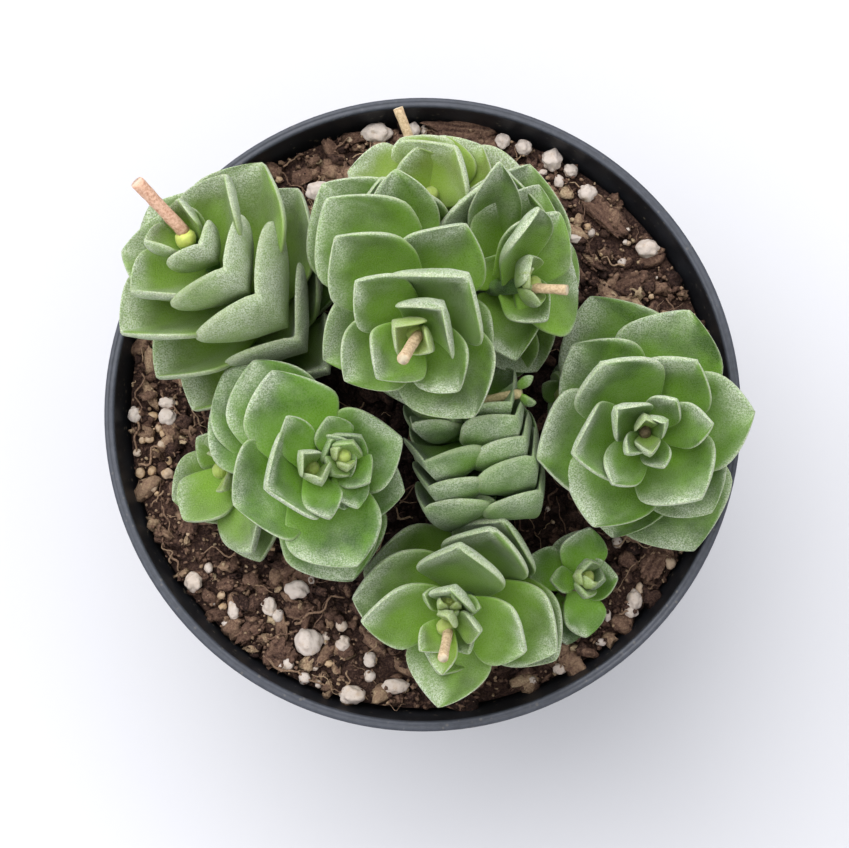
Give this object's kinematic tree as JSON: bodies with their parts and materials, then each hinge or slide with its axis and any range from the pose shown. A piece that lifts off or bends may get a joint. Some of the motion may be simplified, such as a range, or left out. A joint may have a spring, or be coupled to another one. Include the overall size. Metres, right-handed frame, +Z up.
{
  "type": "potted crassula",
  "caption": "Small leafy succulent with broad frosted leaves in crossed pairs and dry flower stalks, growing in bark compost in a round black nursery pot.",
  "frame": {"origin": "centre of the pot's flat underside", "axes": "+Z up along the pot's axis, -Y towards the lower edge of the picture, +X to the right of the picture"},
  "size_m": [0.108, 0.108, 0.1364],
  "materials": {
    "black_plastic": "thin black plastic with a soft sheen and faint moulding marks",
    "compost": "dark damp bark compost with white perlite grains",
    "leaf_green": "fleshy green leaf, yellow-green at its base and frosted silver at its margins and back",
    "dry_stalk": "dry fibrous tan stub"
  },
  "bodies": {
    "root": {"pot": "black_plastic", "soil": "compost", "stem_upper_left": "leaf_green", "stem_top_middle": "leaf_green", "stem_top_right": "leaf_green", "stem_top": "leaf_green", "stem_right": "leaf_green", "stem_right_small": "leaf_green", "stem_left": "leaf_green", "stem_left_low": "leaf_green", "stem_middle": "leaf_green", "stem_bottom": "leaf_green", "stem_bottom_right": "leaf_green", "stem_upper_small": "leaf_green", "stalk_upper_left": "dry_stalk", "stalk_top_middle": "dry_stalk", "stalk_top_right": "dry_stalk", "stalk_top": "dry_stalk", "stalk_middle": "dry_stalk", "stalk_bottom": "dry_stalk"}
  },
  "joints": []
}
